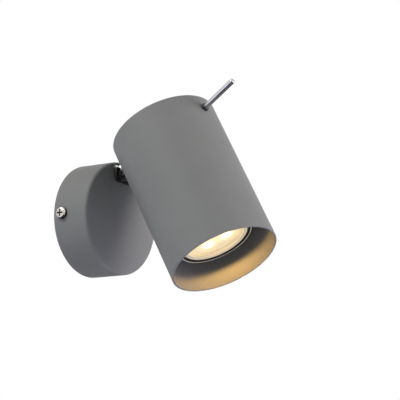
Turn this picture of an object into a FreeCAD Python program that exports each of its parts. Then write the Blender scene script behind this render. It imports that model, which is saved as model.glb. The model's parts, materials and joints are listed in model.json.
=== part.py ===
import FreeCAD
import Part
import math
import os

# Pivoting spotlight wall light. Millimetres, +Z up.
# The wall is the plane Y = 0 and the light stands out from it towards -Y.
# The origin is the centre of the round base on the wall.

V = FreeCAD.Vector
ORIGIN = V(0, 0, 0)
RIGHT = V(1, 0, 0)
UP = V(0, 0, 1)
TO_WALL = V(0, 1, 0)
OUTWARD = V(0, -1, 0)

# Screw heads: shares of the head's own height or radius
SCREW_DOME = 0.6
RECESS_REACH = 0.6
RECESS_HALF_WIDTH = 0.13
RECESS_DEPTH = 0.55

# Hexagon nuts
NUT_SIDES = 6
NUT_ROUNDING = 0.3

# Base cover: a drawn steel cup with its open side on the wall
BASE_RADIUS = 38.0
BASE_DEPTH = 27.0
BASE_WALL = 1.2
BASE_EDGE = 2.0
BASE_INNER_EDGE = 0.8
BASE_INSIDE = BASE_RADIUS - BASE_WALL
BASE_FLOOR = BASE_DEPTH - BASE_WALL

# Cover screws on the left and right of the base
COVER_SCREW_RADIUS = 2.0
COVER_SCREW_HEAD = 4.0
COVER_SCREW_HEAD_HEIGHT = 2.6
COVER_SCREW_LENGTH = 7.0
COVER_SCREW_FROM_WALL = 7.0
COVER_SCREW_CLEARANCE = 0.3

# Wall bracket
BRACKET_THICKNESS = 1.5
BRACKET_HALF_WIDTH = 9.0
BRACKET_TO_COVER = 1.0
BRACKET_CORNER = 0.7
BRACKET_END = BASE_INSIDE - BRACKET_TO_COVER
BRACKET_TAB_HALF_WIDTH = 6.5
BRACKET_TAB_DEPTH = 12.0
BRACKET_LEG_HALF_WIDTH = 9.0
BRACKET_LEG_MARGIN = 2.0
WALL_SLOT_SPACING = 44.0
WALL_SLOT_LENGTH = 9.0
WALL_SLOT_RADIUS = 2.3
CABLE_HOLE_RADIUS = 6.0

# Cable grommet in the middle of the bracket
GROMMET_BORE = 4.0
GROMMET_FLANGE = 8.0
GROMMET_FLANGE_THICKNESS = 1.5
GROMMET_EDGE = 0.5

# Earth screw with its cup washer
EARTH_GAP = 0.7
EARTH_Z = 2.0
EARTH_SCREW_RADIUS = 2.0
EARTH_SCREW_HEAD = 3.4
EARTH_SCREW_HEAD_HEIGHT = 2.2
EARTH_WASHER_RADIUS = 4.0
EARTH_WASHER_THICKNESS = 1.0
EARTH_X = -(GROMMET_FLANGE + EARTH_WASHER_RADIUS + EARTH_GAP)

# Terminal block
TERMINAL_BELOW_GROMMET = 4.0
TERMINAL_POLES = 3
TERMINAL_PITCH = 8.0
TERMINAL_HEIGHT = 17.0
TERMINAL_DEPTH = 13.0
TERMINAL_EDGE = 1.0
TERMINAL_TUBE_RADIUS = 2.1
TERMINAL_TUBE_FIT = 0.2
TERMINAL_TUBE_BORE = 1.4
TERMINAL_TUBE_LENGTH = 13.0
TERMINAL_SCREW_RADIUS = 1.1
TERMINAL_SCREW_LENGTH = 2.0
TERMINAL_SCREW_HEAD = 1.7
TERMINAL_SCREW_HEAD_HEIGHT = 1.2
TERMINAL_WELL_CLEARANCE = 0.2
TERMINAL_SCREW_OFFSET = 4.0
TERMINAL_TUBE_DEPTH = 5.0
TERMINAL_FIXING_RADIUS = 1.25
TERMINAL_FIXING_HEAD = 2.3
TERMINAL_FIXING_HEAD_HEIGHT = 1.4
TERMINAL_CENTRE_Z = -(GROMMET_FLANGE + TERMINAL_BELOW_GROMMET + 0.5 * TERMINAL_HEIGHT)
BRACKET_LEG_BOTTOM = TERMINAL_CENTRE_Z - 0.5 * TERMINAL_HEIGHT - BRACKET_LEG_MARGIN

# Nut on the stem, whose corners pass the wall of the cup
NUT_FLATS = 12.0
NUT_THICKNESS = 3.0
NUT_TO_COVER = 0.87

# Stem that turns in the face of the base
STEM_HEIGHT = BASE_INSIDE - NUT_TO_COVER - NUT_FLATS / math.sqrt(3)
STEM_RADIUS = 4.0
STEM_BORE = 2.6
STEM_FIT = 0.05
STEM_PAST_NUT = 2.08
STEM_FLAT = 3.3

# Stack on the stem, from the outside of the face to the inside
FACE_WASHER_RADIUS = 5.2
FACE_WASHER_THICKNESS = 0.5
STACK_GAP = 0.02
STOP_WASHER_RADIUS = 5.2
STOP_WASHER_THICKNESS = 0.8
STOP_EAR_TO_COVER = 0.1
STOP_EAR_REACH = BASE_INSIDE - BASE_INNER_EDGE - STOP_EAR_TO_COVER - STEM_HEIGHT
STOP_EAR_HALF_WIDTH = 1.0
STOP_DIMPLE_RADIUS = 1.0
STOP_DIMPLE_HEIGHT = 0.7
STOP_DIMPLE_GAP = 0.1
STOP_DIMPLE_OFFSET = STOP_WASHER_RADIUS + STOP_DIMPLE_RADIUS + STOP_DIMPLE_GAP
SPRING_WASHER_RADIUS = 6.2
SPRING_WASHER_THICKNESS = 0.4
SPRING_WASHER_HEIGHT = 0.9

# Swivel hub: a ribbed plate on the face of the base, and its hinge leaves
PLATE_HALF_WIDTH = 9.4
PLATE_ABOVE = 5.5
PLATE_BELOW = 5.4
PLATE_THICKNESS = 1.68
PLATE_FRONT = BASE_DEPTH + FACE_WASHER_THICKNESS + STACK_GAP + PLATE_THICKNESS
PLATE_CORNER = 3.6
PLATE_BEVEL = 1.3
PLATE_ROOT = 0.4
PLATE_RIBS = 4
PLATE_RIB_PITCH = 1.0
PLATE_GROOVE_WIDTH = 0.4
PLATE_GROOVE_DEPTH = 0.3
LEAF_RADIUS = 3.4
LEAF_TO_PLATE = 0.4
HINGE_FROM_WALL = PLATE_FRONT + LEAF_RADIUS + LEAF_TO_PLATE
ARM_BELLY = 4.9
ARM_BELLY_LENGTH = 3.2
LEAF_THICKNESS = 2.0
LEAF_GAP = 0.1
INNER_LEAF_START = 3.2
OUTER_LEAF_START = INNER_LEAF_START + LEAF_THICKNESS + LEAF_GAP
OUTER_LEAF_END = OUTER_LEAF_START + LEAF_THICKNESS
HINGE_SHOULDER = 2.0
HINGE_FIT = 0.05
HINGE_THREAD = 1.5
HINGE_HEAD = 2.9
HINGE_HEAD_HEIGHT = 1.3

# Head tube. Its own axis runs from the rear end to the mouth.
HEAD_RADIUS = 36.0
HEAD_WALL = 1.2
HEAD_LENGTH = 106.0
HEAD_REAR_EDGE = 0.6
HEAD_MOUTH_EDGE = 0.3
HEAD_INSIDE = HEAD_RADIUS - HEAD_WALL
HINGE_FROM_HEAD = 1.5
HINGE_FROM_REAR = 11.0
HINGE_LEVEL = HEAD_RADIUS + HINGE_FROM_HEAD
WINDOW_CLEARANCE = 0.3

# Pose of the head in the photograph
REST_TILT = 30.0
REST_PAN = 2.5

# Rear cap
CAP_RECESS = 0.6
CAP_THICKNESS = 1.5
CAP_EDGE = 0.4
CAP_SKIRT_LENGTH = 11.9
CAP_SKIRT_THICKNESS = 1.0
CAP_NOTCH_CLEARANCE = 1.5

# Saddle inside the tube that carries the outer hinge leaves
SADDLE_THICKNESS = 1.5
SADDLE_HALF_WIDTH = 16.0
SADDLE_TO_CAP = 0.4
SADDLE_REAR = CAP_RECESS + CAP_THICKNESS + SADDLE_TO_CAP
SADDLE_PAST_HINGE = 8.0
SADDLE_FRONT = HINGE_FROM_REAR + SADDLE_PAST_HINGE
INNER_FIT = 0.05
SADDLE_SCREW_ANGLE = 20.0
SMALL_SCREW_RADIUS = 1.5
SMALL_SCREW_HEAD = 2.6
SMALL_SCREW_HEAD_HEIGHT = 1.2
SMALL_SCREW_CLEARANCE = 0.2
SMALL_SCREW_HOLE = SMALL_SCREW_RADIUS + SMALL_SCREW_CLEARANCE

# Aiming pin near the rear of the head
PIN_FROM_REAR = 10.2
PIN_ANGLE = -7.5
PIN_RADIUS = 1.9
PIN_REACH = 29.0
PIN_END_ROUNDING = 1.0
PIN_CLEARANCE = 0.2
PIN_HOLE = PIN_RADIUS + PIN_CLEARANCE
PIN_COLLAR_WALL = 0.8
PIN_COLLAR_RADIUS = PIN_RADIUS + PIN_COLLAR_WALL
PIN_COLLAR_HEIGHT = 2.0
PIN_COLLAR_EDGE = 0.4
PIN_NUT_FLATS = 7.0
PIN_NUT_THICKNESS = 3.0
PIN_NUT_SEAT = 0.3
PIN_PAST_NUT = 0.8

# Lamp bracket across the tube
STRAP_TO_SADDLE = 1.0
STRAP_REAR = SADDLE_FRONT + STRAP_TO_SADDLE
STRAP_THICKNESS = 1.5
STRAP_FRONT = STRAP_REAR + STRAP_THICKNESS
STRAP_HALF_WIDTH = 8.0
STRAP_TAB_LENGTH = 11.5
STRAP_TAB_FRONT = STRAP_FRONT + STRAP_TAB_LENGTH
STRAP_TAB_PAST_PIN = 4.7
STRAP_TAB_REAR = PIN_FROM_REAR - STRAP_TAB_PAST_PIN
STRAP_SCREW_FROM_REAR = STRAP_FRONT + 0.5 * STRAP_TAB_LENGTH
STRAP_WIRE_HOLE = 4.5

# Lamp holder, fixed to the front of the strap
HOLDER_LENGTH = 20.0
HOLDER_FRONT = STRAP_FRONT + HOLDER_LENGTH

# Lamp: a 50 mm reflector lamp with a twist-lock base, well inside the mouth of the tube
HOLDER_GAP = 0.5
LAMP_RADIUS = 25.0
LAMP_LENGTH = 49.0
LAMP_REAR = HOLDER_FRONT + HOLDER_GAP
LAMP_FRONT = LAMP_REAR + LAMP_LENGTH
LAMP_RIM_HEIGHT = 6.0
LAMP_RIM_WALL = 0.7
LAMP_RIM_EDGE = 0.3
LAMP_RIM_STEP = 1.0
LAMP_RIM_SLOPE = 1.5
LAMP_RIM_INNER = LAMP_RADIUS - LAMP_RIM_WALL
LAMP_GROOVE_WIDTH = 1.2
LAMP_GROOVE_DEPTH = 1.8
LAMP_GLASS_RADIUS = LAMP_RIM_INNER - LAMP_GROOVE_WIDTH
LAMP_GLASS_THICKNESS = 2.2
LAMP_GLASS_SETBACK = 0.4
LAMP_GLASS_EDGE = 0.6
LAMP_GLASS_LEDGE = 1.6
LAMP_POCKET_RADIUS = LAMP_GLASS_RADIUS - LAMP_GLASS_LEDGE
LAMP_POCKET_DEPTH = 9.0
LAMP_NECK_RADIUS = 13.5
LAMP_NECK_LENGTH = 4.8
LAMP_FINS = 18
LAMP_FIN_GAP = 2.0
LAMP_FIN_DEPTH = 4.0
LAMP_FIN_FLOOR = 2.0
LAMP_BASE_RADIUS = 12.0
LAMP_BASE_HEIGHT = 9.0
LAMP_BASE_EDGE = 1.2
STUD_SPACING = 10.0
STUD_RADIUS = 1.6
STUD_LENGTH = 6.8
STUD_HEAD_RADIUS = 2.4
STUD_HEAD_LENGTH = 2.8
STUD_HEAD_EDGE = 0.4
LAMP_TWIST = 25.0

# Light source parts inside the lamp
BOARD_CLEARANCE = 0.6
BOARD_RADIUS = LAMP_POCKET_RADIUS - BOARD_CLEARANCE
BOARD_THICKNESS = 1.2
LED_COUNT = 4
LED_CIRCLE = 9.3
LED_FIRST_ANGLE = 27.0
LED_SIZE = 3.4
LED_HEIGHT = 1.0
OPTIC_CLEARANCE = 0.3
OPTIC_RADIUS = LAMP_POCKET_RADIUS - OPTIC_CLEARANCE
OPTIC_THICKNESS = 2.4
OPTIC_SKIRT_WALL = 1.2
OPTIC_SKIRT_RADIUS = BOARD_RADIUS - OPTIC_CLEARANCE
OPTIC_DOME_RADIUS = 6.0
OPTIC_DOME_HEIGHT = 1.0

# Inside of the lamp holder
HOLDER_HALF_X = 8.5
HOLDER_HALF_Y = 10.5
HOLDER_CORNER = 3.0
EAR_HALF_Y = 17.0
EAR_HEIGHT = 7.0
EAR_HALF_X = 5.5
HOLDER_SCREW_OFFSET = 13.8
HOLDER_LIP = 2.8
HOLDER_CHANNEL_DEPTH = 6.2
HOLDER_SLOT_CLEARANCE = 0.35
HOLDER_SLOT_RADIUS = STUD_RADIUS + HOLDER_SLOT_CLEARANCE
HOLDER_CHANNEL_CLEARANCE = 0.4
HOLDER_CHANNEL_RADIUS = STUD_HEAD_RADIUS + HOLDER_CHANNEL_CLEARANCE
CONTACT_RADIUS = 2.2
CONTACT_THICKNESS = 0.9
CONTACT_TAIL_RADIUS = 1.0
CONTACT_TAIL_CLEARANCE = 0.3


def cylinder(radius, length, start=ORIGIN, direction=UP):
    return Part.makeCylinder(radius, length, start, direction)


def ring(outer, inner, length, start=ORIGIN, direction=UP):
    return cylinder(outer, length, start, direction).cut(cylinder(inner, length, start, direction))


def block(x_low, x_high, y_low, y_high, z_low, z_high):
    size = V(x_high - x_low, y_high - y_low, z_high - z_low)
    return Part.makeBox(size.x, size.y, size.z, V(x_low, y_low, z_low))


def both_sides(shape):
    return [shape, shape.mirror(ORIGIN, RIGHT)]


def fuse_all(shapes):
    return shapes[0].multiFuse(shapes[1:]).removeSplitter()


def cut_all(shape, tools):
    for tool in tools:
        shape = shape.cut(tool)
    return shape


def edges_at(shape, axis, value):
    # The edges that lie wholly in one plane across the given axis
    low_name = axis + "Min"
    high_name = axis + "Max"
    found = []
    for edge in shape.Edges:
        box = edge.BoundBox
        if abs(getattr(box, low_name) - value) < 0.001 and abs(getattr(box, high_name) - value) < 0.001:
            found.append(edge)
    return found


def hexagon_nut(across_flats, thickness, bore):
    corner = 0.5 * across_flats / math.cos(math.pi / NUT_SIDES)
    points = []
    for i in range(NUT_SIDES):
        angle = 2.0 * math.pi * i / NUT_SIDES
        points.append(V(corner * math.cos(angle), corner * math.sin(angle), 0))
    body = Part.Face(Part.makePolygon(points + points[:1])).extrude(V(0, 0, thickness))
    wide = corner + 2 * NUT_ROUNDING * thickness
    narrow = corner - NUT_ROUNDING * thickness
    rounding = Part.makeCone(wide, narrow, thickness)
    return body.common(rounding).cut(cylinder(bore, thickness))


def pan_screw(head_radius, head_height, shank_radius, shank_length):
    # Head above Z = 0 with a domed edge and a cross recess, shank below
    head = cylinder(head_radius, head_height)
    head = head.makeFillet(SCREW_DOME * head_height, edges_at(head, "Z", head_height))
    shank = cylinder(shank_radius, shank_length, V(0, 0, -shank_length))
    screw = head.fuse(shank).removeSplitter()
    reach = RECESS_REACH * head_radius
    half_slot = RECESS_HALF_WIDTH * head_radius
    depth = RECESS_DEPTH * head_height
    for long_x, long_y in ((reach, half_slot), (half_slot, reach)):
        screw = screw.cut(block(-long_x, long_x, -long_y, long_y, head_height - depth, head_height))
    return screw


def aimed(shape, position, direction):
    # Moves a shape built along +Z so that it starts at a position and points along a direction
    moved = shape.copy()
    turn = FreeCAD.Rotation(UP, direction)
    moved.Placement = FreeCAD.Placement(position, turn).multiply(moved.Placement)
    return moved


def panned(shape):
    # Turns a swivel or head part about the stem, to where the photograph shows it
    moved = shape.copy()
    moved.rotate(V(0, 0, STEM_HEIGHT), TO_WALL, REST_PAN)
    return moved


def on_head(shape):
    # Head parts are built on their own axis: +Z from rear to mouth, +Y away from the swivel
    moved = shape.copy()
    moved.translate(V(0, HINGE_LEVEL, -HINGE_FROM_REAR))
    moved.rotate(ORIGIN, RIGHT, 180.0 - REST_TILT)
    moved.translate(V(0, -HINGE_FROM_WALL, STEM_HEIGHT))
    return panned(moved)


def around_head(angle, radius, along):
    # A point on the head at an angle from +Y, in the head's own frame
    turn = math.radians(angle)
    return V(radius * math.sin(turn), radius * math.cos(turn), along)


def save(name, shape):
    shape.exportStep("parts/" + name + ".step")


def base_cover():
    outer = cylinder(BASE_RADIUS, BASE_DEPTH, ORIGIN, OUTWARD)
    outer = outer.makeFillet(BASE_EDGE, edges_at(outer, "Y", -BASE_DEPTH))
    inner = cylinder(BASE_INSIDE, BASE_FLOOR, ORIGIN, OUTWARD)
    inner = inner.makeFillet(BASE_INNER_EDGE, edges_at(inner, "Y", -BASE_FLOOR))
    cup = outer.cut(inner)
    stem_hole = cylinder(STEM_RADIUS + STEM_FIT, BASE_DEPTH, V(0, 0, STEM_HEIGHT), OUTWARD)
    screw_start = V(-2 * BASE_RADIUS, -COVER_SCREW_FROM_WALL, 0)
    screw_holes = cylinder(COVER_SCREW_RADIUS + COVER_SCREW_CLEARANCE, 4 * BASE_RADIUS, screw_start, RIGHT)
    cup = cut_all(cup, [stem_hole, screw_holes])
    # Dimple inside the face that stops the keyed washer
    dimple_start = V(0, -BASE_FLOOR - 0.5 * BASE_WALL, STEM_HEIGHT - STOP_DIMPLE_OFFSET)
    dimple_length = STOP_DIMPLE_HEIGHT + 0.5 * BASE_WALL
    return cup.fuse(cylinder(STOP_DIMPLE_RADIUS, dimple_length, dimple_start, TO_WALL)).removeSplitter()


def cover_screws():
    screw = pan_screw(COVER_SCREW_HEAD, COVER_SCREW_HEAD_HEIGHT, COVER_SCREW_RADIUS, COVER_SCREW_LENGTH)
    right = aimed(screw, V(BASE_RADIUS, -COVER_SCREW_FROM_WALL, 0), RIGHT)
    return Part.makeCompound(both_sides(right))


def wall_slot(centre_x):
    half_straight = 0.5 * WALL_SLOT_LENGTH - WALL_SLOT_RADIUS
    ends = []
    for x in (centre_x - half_straight, centre_x + half_straight):
        ends.append(cylinder(WALL_SLOT_RADIUS, BRACKET_THICKNESS, V(x, 0, 0), OUTWARD))
    middle = block(centre_x - half_straight, centre_x + half_straight,
                   -BRACKET_THICKNESS, 0, -WALL_SLOT_RADIUS, WALL_SLOT_RADIUS)
    return fuse_all(ends + [middle])


def wall_bracket():
    strap = block(-BRACKET_END, BRACKET_END, -BRACKET_THICKNESS, 0, -BRACKET_HALF_WIDTH, BRACKET_HALF_WIDTH)
    inside = cylinder(BASE_INSIDE - BRACKET_CORNER, BRACKET_TAB_DEPTH, ORIGIN, OUTWARD)
    leg = block(-BRACKET_LEG_HALF_WIDTH, BRACKET_LEG_HALF_WIDTH, -BRACKET_THICKNESS, 0, BRACKET_LEG_BOTTOM, 0)
    tab = block(BRACKET_END - BRACKET_THICKNESS, BRACKET_END, -BRACKET_TAB_DEPTH, 0,
                -BRACKET_TAB_HALF_WIDTH, BRACKET_TAB_HALF_WIDTH)
    bracket = fuse_all([strap, leg] + both_sides(tab)).common(inside)
    tools = [cylinder(CABLE_HOLE_RADIUS, BRACKET_THICKNESS, ORIGIN, OUTWARD)]
    tools += both_sides(wall_slot(0.5 * WALL_SLOT_SPACING))
    tab_hole = V(-BASE_RADIUS, -COVER_SCREW_FROM_WALL, 0)
    tools.append(cylinder(COVER_SCREW_RADIUS, 2 * BASE_RADIUS, tab_hole, RIGHT))
    tools.append(cylinder(EARTH_SCREW_RADIUS, BRACKET_THICKNESS, V(EARTH_X, 0, EARTH_Z), OUTWARD))
    fixing = V(terminal_fixing_x(), 0, TERMINAL_CENTRE_Z)
    tools.append(cylinder(TERMINAL_FIXING_RADIUS, BRACKET_THICKNESS, fixing, OUTWARD))
    return cut_all(bracket, tools)


def cable_grommet():
    # Starts flush with the wall, grips the bracket and has a flange inside
    sleeve_length = BRACKET_THICKNESS + GROMMET_FLANGE_THICKNESS
    sleeve = cylinder(CABLE_HOLE_RADIUS, sleeve_length, ORIGIN, OUTWARD)
    flange_start = V(0, -BRACKET_THICKNESS, 0)
    flange = cylinder(GROMMET_FLANGE, GROMMET_FLANGE_THICKNESS, flange_start, OUTWARD)
    flange = flange.makeFillet(GROMMET_EDGE, edges_at(flange, "Y", -sleeve_length))
    return sleeve.fuse(flange).cut(cylinder(GROMMET_BORE, sleeve_length, ORIGIN, OUTWARD)).removeSplitter()


def earth_washer():
    start = V(EARTH_X, -BRACKET_THICKNESS, EARTH_Z)
    return ring(EARTH_WASHER_RADIUS, EARTH_SCREW_RADIUS, EARTH_WASHER_THICKNESS, start, OUTWARD)


def earth_screw():
    under_head = BRACKET_THICKNESS + EARTH_WASHER_THICKNESS
    screw = pan_screw(EARTH_SCREW_HEAD, EARTH_SCREW_HEAD_HEIGHT, EARTH_SCREW_RADIUS, under_head)
    return aimed(screw, V(EARTH_X, -under_head, EARTH_Z), OUTWARD)


def terminal_xs():
    first = -0.5 * TERMINAL_PITCH * (TERMINAL_POLES - 1)
    return [first + TERMINAL_PITCH * i for i in range(TERMINAL_POLES)]


def terminal_fixing_x():
    # The fixing hole is between the first two poles
    return terminal_xs()[0] + 0.5 * TERMINAL_PITCH


def terminal_tube_y():
    return -(BRACKET_THICKNESS + TERMINAL_TUBE_DEPTH)


def terminal_screw_spots():
    spots = []
    for x in terminal_xs():
        for offset in (-TERMINAL_SCREW_OFFSET, TERMINAL_SCREW_OFFSET):
            spots.append(V(x, terminal_tube_y(), TERMINAL_CENTRE_Z + offset))
    return spots


def terminal_block():
    half_width = 0.5 * TERMINAL_PITCH * TERMINAL_POLES
    low = TERMINAL_CENTRE_Z - 0.5 * TERMINAL_HEIGHT
    high = TERMINAL_CENTRE_Z + 0.5 * TERMINAL_HEIGHT
    front = -BRACKET_THICKNESS - TERMINAL_DEPTH
    body = block(-half_width, half_width, front, -BRACKET_THICKNESS, low, high)
    body = body.makeFillet(TERMINAL_EDGE, edges_at(body, "Y", front))
    wire_radius = TERMINAL_TUBE_RADIUS + TERMINAL_TUBE_FIT
    well_radius = TERMINAL_SCREW_HEAD + TERMINAL_WELL_CLEARANCE
    tools = []
    for x in terminal_xs():
        tools.append(cylinder(wire_radius, TERMINAL_HEIGHT, V(x, terminal_tube_y(), low), UP))
    for spot in terminal_screw_spots():
        tools.append(cylinder(well_radius, TERMINAL_DEPTH, spot, OUTWARD))
    fixing = V(terminal_fixing_x(), -BRACKET_THICKNESS, TERMINAL_CENTRE_Z)
    tools.append(cylinder(TERMINAL_FIXING_RADIUS, TERMINAL_DEPTH, fixing, OUTWARD))
    return cut_all(body, tools)


def terminal_tubes():
    tubes = []
    low = TERMINAL_CENTRE_Z - 0.5 * TERMINAL_TUBE_LENGTH
    for x in terminal_xs():
        start = V(x, terminal_tube_y(), low)
        tubes.append(ring(TERMINAL_TUBE_RADIUS, TERMINAL_TUBE_BORE, TERMINAL_TUBE_LENGTH, start, UP))
    holes = [cylinder(TERMINAL_SCREW_RADIUS, TERMINAL_DEPTH, spot, OUTWARD) for spot in terminal_screw_spots()]
    return Part.makeCompound([cut_all(tube, holes) for tube in tubes])


def terminal_screws():
    screw = pan_screw(TERMINAL_SCREW_HEAD, TERMINAL_SCREW_HEAD_HEIGHT, TERMINAL_SCREW_RADIUS,
                      TERMINAL_SCREW_LENGTH)
    above_tube = V(0, -(TERMINAL_TUBE_BORE + TERMINAL_SCREW_LENGTH), 0)
    return Part.makeCompound([aimed(screw, spot + above_tube, OUTWARD) for spot in terminal_screw_spots()])


def terminal_fixing_screw():
    length = TERMINAL_DEPTH + BRACKET_THICKNESS
    screw = pan_screw(TERMINAL_FIXING_HEAD, TERMINAL_FIXING_HEAD_HEIGHT, TERMINAL_FIXING_RADIUS, length)
    return aimed(screw, V(terminal_fixing_x(), -length, TERMINAL_CENTRE_Z), OUTWARD)


def face_washer():
    start = V(0, -BASE_DEPTH, STEM_HEIGHT)
    return ring(FACE_WASHER_RADIUS, STEM_RADIUS + STEM_FIT, FACE_WASHER_THICKNESS, start, OUTWARD)


def plate_back():
    return BASE_DEPTH + FACE_WASHER_THICKNESS + STACK_GAP


def stop_washer_front():
    return BASE_FLOOR - STACK_GAP


def spring_washer_front():
    return stop_washer_front() - STOP_WASHER_THICKNESS


def nut_front():
    return spring_washer_front() - SPRING_WASHER_HEIGHT


def stem_end():
    return nut_front() - NUT_THICKNESS - STEM_PAST_NUT


def above_flat(extra):
    # The part of space that the flat on the stem leaves out
    height = STEM_HEIGHT + STEM_FLAT + extra
    return block(-STEM_RADIUS, STEM_RADIUS, -stop_washer_front(), 0, height, height + STEM_RADIUS)


def swivel_plate():
    # Rounded below, bevelled along the top, with upright grooves near both sides
    low = STEM_HEIGHT - PLATE_BELOW
    high = STEM_HEIGHT + PLATE_ABOVE
    plate = block(-PLATE_HALF_WIDTH, PLATE_HALF_WIDTH, -PLATE_FRONT, -plate_back(), low, high)
    top_edges = edges_at(plate, "Z", high)
    top_front = [edge for edge in top_edges if edge.BoundBox.YMax < -plate_back() - 0.5 * PLATE_THICKNESS]
    plate = plate.makeChamfer(PLATE_BEVEL, top_front)
    low_edges = edges_at(plate, "Z", low)
    corners = [edge for edge in low_edges if edge.BoundBox.XLength < 0.5 * PLATE_HALF_WIDTH]
    plate = plate.makeFillet(PLATE_CORNER, corners)
    for i in range(PLATE_RIBS):
        x = PLATE_HALF_WIDTH - (i + 1) * PLATE_RIB_PITCH
        groove = block(x - 0.5 * PLATE_GROOVE_WIDTH, x + 0.5 * PLATE_GROOVE_WIDTH,
                       -PLATE_FRONT, -PLATE_FRONT + PLATE_GROOVE_DEPTH, low, high)
        plate = cut_all(plate, both_sides(groove))
    return plate


def arm_cheek():
    # An inner leaf seen along X: a round end about the hinge, a straight top and a deeper belly
    back = -(PLATE_FRONT - PLATE_ROOT)
    belly_end = -(PLATE_FRONT + ARM_BELLY_LENGTH)
    outline = [V(INNER_LEAF_START, back, STEM_HEIGHT - ARM_BELLY),
               V(INNER_LEAF_START, belly_end, STEM_HEIGHT - ARM_BELLY),
               V(INNER_LEAF_START, -HINGE_FROM_WALL - LEAF_RADIUS, STEM_HEIGHT),
               V(INNER_LEAF_START, -HINGE_FROM_WALL, STEM_HEIGHT + LEAF_RADIUS),
               V(INNER_LEAF_START, back, STEM_HEIGHT + LEAF_RADIUS)]
    cheek = Part.Face(Part.makePolygon(outline + outline[:1])).extrude(V(LEAF_THICKNESS, 0, 0))
    end = cylinder(LEAF_RADIUS, LEAF_THICKNESS, outline[3] - V(0, 0, LEAF_RADIUS), RIGHT)
    return cheek.fuse(end).removeSplitter()


def swivel_hub():
    # One piece: hollow stem, ribbed plate and two hinge leaves
    stem_start = V(0, -plate_back() - STACK_GAP, STEM_HEIGHT)
    stem = cylinder(STEM_RADIUS, plate_back() + STACK_GAP - stem_end(), stem_start, TO_WALL)
    hub = fuse_all([stem.cut(above_flat(0)), swivel_plate()] + both_sides(arm_cheek()))
    bore = cylinder(STEM_BORE, HINGE_FROM_WALL, V(0, -stem_end(), STEM_HEIGHT), OUTWARD)
    thread_start = V(-OUTER_LEAF_START, -HINGE_FROM_WALL, STEM_HEIGHT)
    threads = cylinder(HINGE_THREAD, 2 * OUTER_LEAF_START, thread_start, RIGHT)
    return panned(cut_all(hub, [bore, threads]))


def stop_washer():
    start = V(0, -stop_washer_front(), STEM_HEIGHT)
    disc = cylinder(STOP_WASHER_RADIUS, STOP_WASHER_THICKNESS, start, TO_WALL)
    ear = block(-STOP_EAR_HALF_WIDTH, STOP_EAR_HALF_WIDTH, -stop_washer_front(), -spring_washer_front(),
                STEM_HEIGHT, STEM_HEIGHT + STOP_EAR_REACH)
    hole = cylinder(STEM_RADIUS + STEM_FIT, STOP_WASHER_THICKNESS, start, TO_WALL).cut(above_flat(STEM_FIT))
    return panned(disc.fuse(ear).cut(hole).removeSplitter())


def spring_washer():
    # A shallow dished ring
    inner = STEM_RADIUS + STEM_FIT
    points = [V(inner, 0, SPRING_WASHER_HEIGHT - SPRING_WASHER_THICKNESS),
              V(inner, 0, SPRING_WASHER_HEIGHT),
              V(SPRING_WASHER_RADIUS, 0, SPRING_WASHER_THICKNESS),
              V(SPRING_WASHER_RADIUS, 0, 0)]
    profile = Part.Face(Part.makePolygon(points + points[:1]))
    dished = profile.revolve(ORIGIN, UP, 360)
    return panned(aimed(dished, V(0, -spring_washer_front(), STEM_HEIGHT), TO_WALL))


def stem_nut():
    nut = hexagon_nut(NUT_FLATS, NUT_THICKNESS, STEM_RADIUS)
    return panned(aimed(nut, V(0, -nut_front(), STEM_HEIGHT), TO_WALL))


def hinge_screws():
    # Shoulder screws that the outer leaves turn on, threaded into the inner leaves
    length = OUTER_LEAF_END + LEAF_GAP - INNER_LEAF_START
    head = pan_screw(HINGE_HEAD, HINGE_HEAD_HEIGHT, HINGE_THREAD, length)
    shoulder_length = OUTER_LEAF_END - OUTER_LEAF_START + 2 * LEAF_GAP
    shoulder = cylinder(HINGE_SHOULDER, shoulder_length, V(0, 0, -shoulder_length))
    screw = head.fuse(shoulder).removeSplitter()
    right = aimed(screw, V(OUTER_LEAF_END + LEAF_GAP, -HINGE_FROM_WALL, STEM_HEIGHT), RIGHT)
    return Part.makeCompound([panned(side) for side in both_sides(right)])


def hinge_half_width():
    # Half the width over the heads of the two hinge screws
    return OUTER_LEAF_END + LEAF_GAP + HINGE_HEAD_HEIGHT


def saddle_window(reach, inside):
    # Opening round the hinge in the head's own frame
    half_z = LEAF_RADIUS + WINDOW_CLEARANCE
    return block(-reach, reach, -2 * HEAD_RADIUS, -inside,
                 HINGE_FROM_REAR - half_z, HINGE_FROM_REAR + half_z)


def saddle_screw_direction(side):
    return around_head(180.0 + side * SADDLE_SCREW_ANGLE, 1.0, 0)


def saddle_screw_tools(radius):
    tools = []
    for side in (-1, 1):
        start = V(0, 0, HINGE_FROM_REAR)
        tools.append(cylinder(radius, 2 * HEAD_RADIUS, start, saddle_screw_direction(side)))
    return tools


def pin_direction():
    return around_head(PIN_ANGLE, 1.0, 0)


def pin_tool(radius):
    return cylinder(radius, 2 * HEAD_RADIUS, V(0, 0, PIN_FROM_REAR), pin_direction())


def strap_screw_tool(radius):
    return cylinder(radius, 2 * HEAD_RADIUS, V(0, 0, STRAP_SCREW_FROM_REAR), OUTWARD)


def head_tube():
    outer = cylinder(HEAD_RADIUS, HEAD_LENGTH)
    outer = outer.makeFillet(HEAD_REAR_EDGE, edges_at(outer, "Z", 0))
    outer = outer.makeFillet(HEAD_MOUTH_EDGE, edges_at(outer, "Z", HEAD_LENGTH))
    tube = outer.cut(cylinder(HEAD_INSIDE, HEAD_LENGTH))
    tools = [saddle_window(hinge_half_width() + WINDOW_CLEARANCE, 0), pin_tool(PIN_HOLE)]
    tools += saddle_screw_tools(SMALL_SCREW_HOLE)
    tools.append(strap_screw_tool(SMALL_SCREW_HOLE))
    return on_head(cut_all(tube, tools))


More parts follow.
